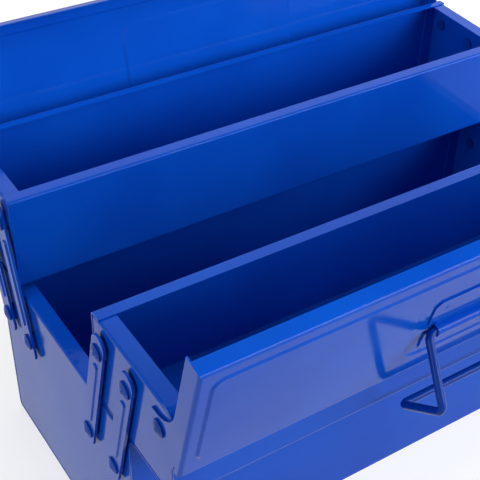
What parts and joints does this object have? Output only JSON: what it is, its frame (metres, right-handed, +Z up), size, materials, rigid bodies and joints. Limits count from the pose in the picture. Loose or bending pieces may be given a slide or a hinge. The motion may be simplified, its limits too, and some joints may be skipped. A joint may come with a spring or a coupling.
{
  "type": "cantilever tool box",
  "caption": "Painted steel tool box that opens outwards: deep lower body, trays carried on flat links, hinged lids with wire handles.",
  "frame": {"origin": "on the ground under the middle of the lower body", "axes": "+X along the box to the right seen from the front, -Y to the front, +Z up"},
  "size_m": [0.3602, 0.325, 0.2272],
  "materials": {
    "blue_enamel": "gloss",
    "handle_enamel": "gloss",
    "rivet_enamel": "gloss",
    "washer_enamel": "gloss"
  },
  "bodies": {
    "body": {"body_wrap": "blue_enamel", "body_end_left": "blue_enamel", "body_end_right": "blue_enamel", "body_link_rivets": "rivet_enamel", "body_link_washers": "washer_enamel"},
    "front_tray": {"front_tray_wrap": "blue_enamel", "front_tray_end_left": "blue_enamel", "front_tray_end_right": "blue_enamel", "front_tray_link_rivets": "rivet_enamel", "front_tray_link_washers": "washer_enamel", "front_lid_rivets": "rivet_enamel"},
    "front_left_inner_link": {"front_left_inner_link": "blue_enamel"},
    "front_left_outer_link": {"front_left_outer_link": "blue_enamel"},
    "front_right_inner_link": {"front_right_inner_link": "blue_enamel"},
    "front_right_outer_link": {"front_right_outer_link": "blue_enamel"},
    "front_lid": {"front_lid": "blue_enamel", "front_handle_bracket": "blue_enamel"},
    "front_handle": {"front_handle": "handle_enamel"},
    "rear_tray": {"rear_tray_wrap": "blue_enamel", "rear_tray_end_left": "blue_enamel", "rear_tray_end_right": "blue_enamel", "rear_tray_link_rivets": "rivet_enamel", "rear_tray_link_washers": "washer_enamel", "rear_lid_rivets": "rivet_enamel"},
    "rear_left_inner_link": {"rear_left_inner_link": "blue_enamel"},
    "rear_left_outer_link": {"rear_left_outer_link": "blue_enamel"},
    "rear_right_inner_link": {"rear_right_inner_link": "blue_enamel"},
    "rear_right_outer_link": {"rear_right_outer_link": "blue_enamel"},
    "rear_lid": {"rear_lid": "blue_enamel", "rear_handle_bracket": "blue_enamel"},
    "rear_handle": {"rear_handle": "handle_enamel"}
  },
  "joints": [
    {"name": "front_swing", "type": "hinge", "parent": "body", "child": "front_left_inner_link", "pos_m": [-0.1774, -0.0377, 0.0905], "axis": [-1, 0, 0], "range_deg": [0, 35.2]},
    {"name": "front_left_outer_swing", "type": "hinge", "parent": "body", "child": "front_left_outer_link", "pos_m": [-0.1774, -0.0657, 0.0905], "axis": [-1, 0, 0], "range_deg": [0, 35.2]},
    {"name": "front_right_inner_swing", "type": "hinge", "parent": "body", "child": "front_right_inner_link", "pos_m": [0.1774, -0.0377, 0.0905], "axis": [-1, 0, 0], "range_deg": [0, 35.2]},
    {"name": "front_right_outer_swing", "type": "hinge", "parent": "body", "child": "front_right_outer_link", "pos_m": [0.1774, -0.0657, 0.0905], "axis": [-1, 0, 0], "range_deg": [0, 35.2]},
    {"name": "front_tray_level", "type": "hinge", "parent": "front_left_inner_link", "child": "front_tray", "pos_m": [-0.1774, -0.0571, 0.16191], "axis": [-1, 0, 0], "range_deg": [-35.3, 0]},
    {"name": "front_lid_hinge", "type": "hinge", "parent": "front_tray", "child": "front_lid", "pos_m": [0, -0.11335, 0.16291], "axis": [-1, 0, 0], "range_deg": [0, 103.5]},
    {"name": "front_handle_swing", "type": "hinge", "parent": "front_lid", "child": "front_handle", "pos_m": [0, -0.13996, 0.17863], "axis": [-1, 0, 0], "range_deg": [-5, 120]},
    {"name": "rear_swing", "type": "hinge", "parent": "body", "child": "rear_left_inner_link", "pos_m": [-0.1774, 0.0377, 0.0905], "axis": [1, 0, 0], "range_deg": [0, 35.2]},
    {"name": "rear_left_outer_swing", "type": "hinge", "parent": "body", "child": "rear_left_outer_link", "pos_m": [-0.1774, 0.0657, 0.0905], "axis": [1, 0, 0], "range_deg": [0, 35.2]},
    {"name": "rear_right_inner_swing", "type": "hinge", "parent": "body", "child": "rear_right_inner_link", "pos_m": [0.1774, 0.0377, 0.0905], "axis": [1, 0, 0], "range_deg": [0, 35.2]},
    {"name": "rear_right_outer_swing", "type": "hinge", "parent": "body", "child": "rear_right_outer_link", "pos_m": [0.1774, 0.0657, 0.0905], "axis": [1, 0, 0], "range_deg": [0, 35.2]},
    {"name": "rear_tray_level", "type": "hinge", "parent": "rear_left_inner_link", "child": "rear_tray", "pos_m": [-0.1774, 0.0571, 0.16191], "axis": [1, 0, 0], "range_deg": [-35.3, 0]},
    {"name": "rear_lid_hinge", "type": "hinge", "parent": "rear_tray", "child": "rear_lid", "pos_m": [0, 0.11335, 0.16291], "axis": [1, 0, 0], "range_deg": [0, 103.5]},
    {"name": "rear_handle_swing", "type": "hinge", "parent": "rear_lid", "child": "rear_handle", "pos_m": [0, 0.13996, 0.17863], "axis": [1, 0, 0], "range_deg": [-5, 120]}
  ],
  "couplings": [
    {"joint": "front_left_outer_swing", "follows": "front_swing", "ratio": 1},
    {"joint": "front_right_inner_swing", "follows": "front_swing", "ratio": 1},
    {"joint": "front_right_outer_swing", "follows": "front_swing", "ratio": 1},
    {"joint": "front_tray_level", "follows": "front_swing", "ratio": -1},
    {"joint": "rear_left_outer_swing", "follows": "rear_swing", "ratio": 1},
    {"joint": "rear_right_inner_swing", "follows": "rear_swing", "ratio": 1},
    {"joint": "rear_right_outer_swing", "follows": "rear_swing", "ratio": 1},
    {"joint": "rear_tray_level", "follows": "rear_swing", "ratio": -1}
  ]
}
